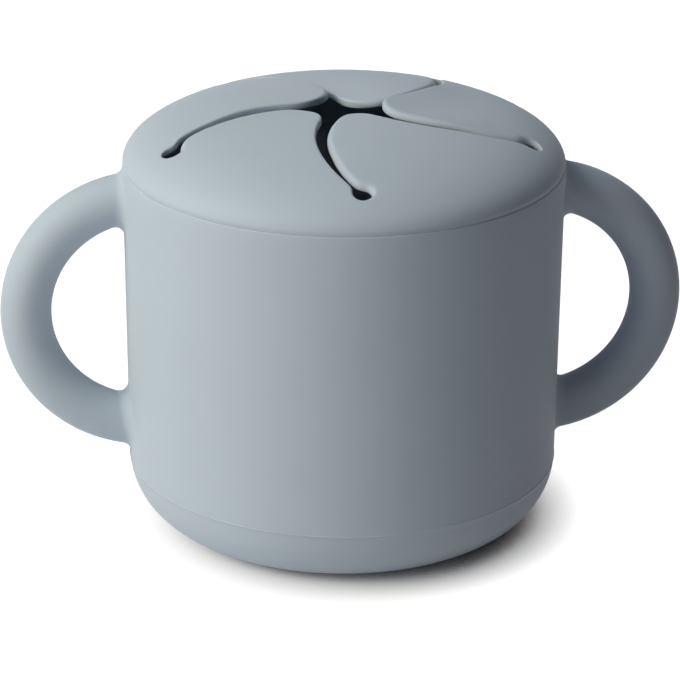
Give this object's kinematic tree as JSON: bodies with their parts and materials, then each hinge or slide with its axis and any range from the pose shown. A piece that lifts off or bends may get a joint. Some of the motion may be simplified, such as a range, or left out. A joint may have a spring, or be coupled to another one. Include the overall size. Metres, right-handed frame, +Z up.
{
  "type": "toddler snack container",
  "caption": "Round silicone snack cup for a toddler, with a loop handle on each side and a push-in domed lid whose curved flaps bend to let a small hand in.",
  "frame": {"origin": "centre of the cup's foot, on the surface that it stands on", "axes": "+X runs along the handles, -Y is the front, midway between the handles, where a slit of the lid ends, and +Z is up along the cup's axis"},
  "size_m": [0.1378, 0.088, 0.0864],
  "materials": {
    "cup_silicone": "matte, finely textured",
    "lid_silicone": "matte, finely textured"
  },
  "bodies": {
    "cup": {"cup_body": "cup_silicone", "left_handle": "cup_silicone", "right_handle": "cup_silicone"},
    "lid": {"lid_ring": "lid_silicone"},
    "flap_1": {"flap_1": "lid_silicone"},
    "flap_2": {"flap_2": "lid_silicone"},
    "flap_3": {"flap_3": "lid_silicone"},
    "flap_4": {"flap_4": "lid_silicone"},
    "flap_5": {"flap_5": "lid_silicone"}
  },
  "joints": [
    {"name": "lid_lift", "type": "slide", "parent": "cup", "child": "lid", "axis": [0, 0, 1], "range_m": [0, 0.04]},
    {"name": "flap_1_bend", "type": "hinge", "parent": "lid", "child": "flap_1", "pos_m": [0.01703, -0.02442, 0.0822], "axis": [-0.8202, -0.5721, 0], "range_deg": [-35, 70], "stiffness_Nm_per_rad": 0.02},
    {"name": "flap_2_bend", "type": "hinge", "parent": "lid", "child": "flap_2", "pos_m": [0.02848, 0.00865, 0.0822], "axis": [0.2907, -0.9568, 0], "range_deg": [-35, 70], "stiffness_Nm_per_rad": 0.02},
    {"name": "flap_3_bend", "type": "hinge", "parent": "lid", "child": "flap_3", "pos_m": [0.00057, 0.02976, 0.0822], "axis": [0.9998, -0.0192, 0], "range_deg": [-35, 70], "stiffness_Nm_per_rad": 0.02},
    {"name": "flap_4_bend", "type": "hinge", "parent": "lid", "child": "flap_4", "pos_m": [-0.02813, 0.00974, 0.0822], "axis": [0.3272, 0.9449, 0], "range_deg": [-35, 70], "stiffness_Nm_per_rad": 0.02},
    {"name": "flap_5_bend", "type": "hinge", "parent": "lid", "child": "flap_5", "pos_m": [-0.01796, -0.02374, 0.0822], "axis": [-0.7976, 0.6032, 0], "range_deg": [-35, 70], "stiffness_Nm_per_rad": 0.02}
  ]
}
